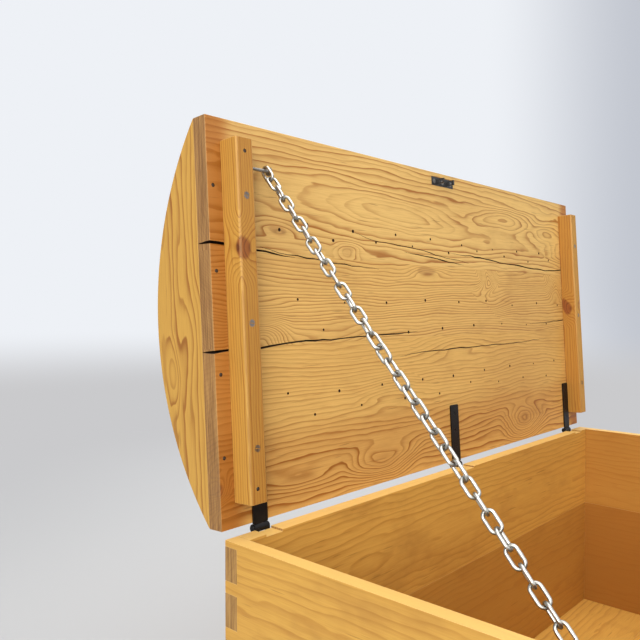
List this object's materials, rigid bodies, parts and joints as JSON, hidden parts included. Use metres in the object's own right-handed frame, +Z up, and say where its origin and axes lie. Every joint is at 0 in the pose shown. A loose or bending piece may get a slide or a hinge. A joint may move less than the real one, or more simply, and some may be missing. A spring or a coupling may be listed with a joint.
{
  "type": "storage trunk",
  "caption": "Dovetailed pine trunk with a domed lid on strap hinges, held open by a stay chain, with a lock, a plinth and drop handles.",
  "frame": {"origin": "middle of the underside, on the floor", "axes": "+X along the front to the right, +Y to the back, +Z up"},
  "size_m": [1.123, 0.6777, 0.9468],
  "materials": {
    "pine": "worn, waxed pine",
    "black_iron": "black japanned iron",
    "zinc_steel": "bright zinc plating",
    "screw_steel": "dull steel",
    "lock_steel": "dark tarnished steel"
  },
  "bodies": {
    "chest_body": {"back_lower_board": "pine", "back_upper_board": "pine", "bottom_board_1": "pine", "bottom_board_2": "pine", "bottom_board_3": "pine", "chain_wall_screw": "zinc_steel", "escutcheon": "black_iron", "front_lower_board": "pine", "front_upper_board": "pine", "handle_plate_left": "black_iron", "handle_plate_right": "black_iron", "handle_screws": "black_iron", "hinge_pin_left": "black_iron", "hinge_pin_middle": "black_iron", "hinge_pin_right": "black_iron", "hinge_wall_leaf_left": "black_iron", "hinge_wall_leaf_middle": "black_iron", "hinge_wall_leaf_right": "black_iron", "hinge_wall_screws": "black_iron", "left_lower_board": "pine", "left_upper_board": "pine", "lock_case": "lock_steel", "lock_cover": "lock_steel", "lock_screws": "screw_steel", "plinth_back": "pine", "plinth_front": "pine", "plinth_left": "pine", "plinth_right": "pine", "right_lower_board": "pine", "right_upper_board": "pine"},
    "lid": {"batten_screws": "screw_steel", "chain_lid_screw": "zinc_steel", "hinge_lid_screws": "black_iron", "hinge_lid_strap_left": "black_iron", "hinge_lid_strap_middle": "black_iron", "hinge_lid_strap_right": "black_iron", "lid_batten_left": "pine", "lid_batten_right": "pine", "lid_end_board_left": "pine", "lid_end_board_right": "pine", "lid_plank_back": "pine", "lid_plank_front": "pine", "lid_plank_middle": "pine", "lid_rib": "pine", "lid_stave_1": "pine", "lid_stave_2": "pine", "lid_stave_3": "pine", "lid_stave_4": "pine", "lid_stave_5": "pine", "lid_stave_6": "pine", "link_plate_screws": "screw_steel", "lock_link_plate": "lock_steel"},
    "chain_upper": {"chain_upper": "zinc_steel"},
    "chain_turn_upper": {"chain_turn_upper": "zinc_steel"},
    "chain_turn_lower": {"chain_turn_lower": "zinc_steel"},
    "chain_lower": {"chain_lower": "zinc_steel"},
    "lock_bolt": {"lock_bolt": "lock_steel"},
    "handle_bail_left": {"handle_bail_left": "black_iron"},
    "handle_bail_right": {"handle_bail_right": "black_iron"}
  },
  "joints": [
    {"name": "lid_hinge", "type": "hinge", "parent": "chest_body", "child": "lid", "pos_m": [0, 0.2658, 0.4203], "axis": [1, 0, 0], "range_deg": [0, 93.5]},
    {"name": "chain_upper_swing", "type": "hinge", "parent": "lid", "child": "chain_upper", "pos_m": [-0.455, 0.27818, 0.88471], "axis": [1, 0, 0], "range_deg": [-50.7, 0]},
    {"name": "chain_turn_upper_swing", "type": "hinge", "parent": "chain_upper", "child": "chain_turn_upper", "pos_m": [-0.46868, 0.06648, 0.64814], "axis": [1, 0, 0], "range_deg": [0, 55.1]},
    {"name": "chain_lower_swing", "type": "hinge", "parent": "chest_body", "child": "chain_lower", "pos_m": [-0.485, -0.186, 0.366], "axis": [1, 0, 0], "range_deg": [-122.3, 0]},
    {"name": "chain_turn_lower_swing", "type": "hinge", "parent": "chain_lower", "child": "chain_turn_lower", "pos_m": [-0.47295, 0.00041, 0.57431], "axis": [1, 0, 0], "range_deg": [-75, 0]},
    {"name": "lock_bolt_slide", "type": "slide", "parent": "chest_body", "child": "lock_bolt", "axis": [1, 0, 0], "range_m": [0, 0.008]},
    {"name": "handle_left_swing", "type": "hinge", "parent": "chest_body", "child": "handle_bail_left", "pos_m": [-0.5535, 0, 0.272], "axis": [0, 1, 0], "range_deg": [-8, 188]},
    {"name": "handle_right_swing", "type": "hinge", "parent": "chest_body", "child": "handle_bail_right", "pos_m": [0.5535, 0, 0.272], "axis": [0, -1, 0], "range_deg": [-8, 188]}
  ],
  "couplings": [
    {"joint": "chain_upper_swing", "follows": "lid_hinge", "ratio": -0.54199},
    {"joint": "chain_turn_upper_swing", "follows": "lid_hinge", "ratio": 0.58865},
    {"joint": "chain_lower_swing", "follows": "lid_hinge", "ratio": -1.3071},
    {"joint": "chain_turn_lower_swing", "follows": "lid_hinge", "ratio": -0.80149}
  ]
}
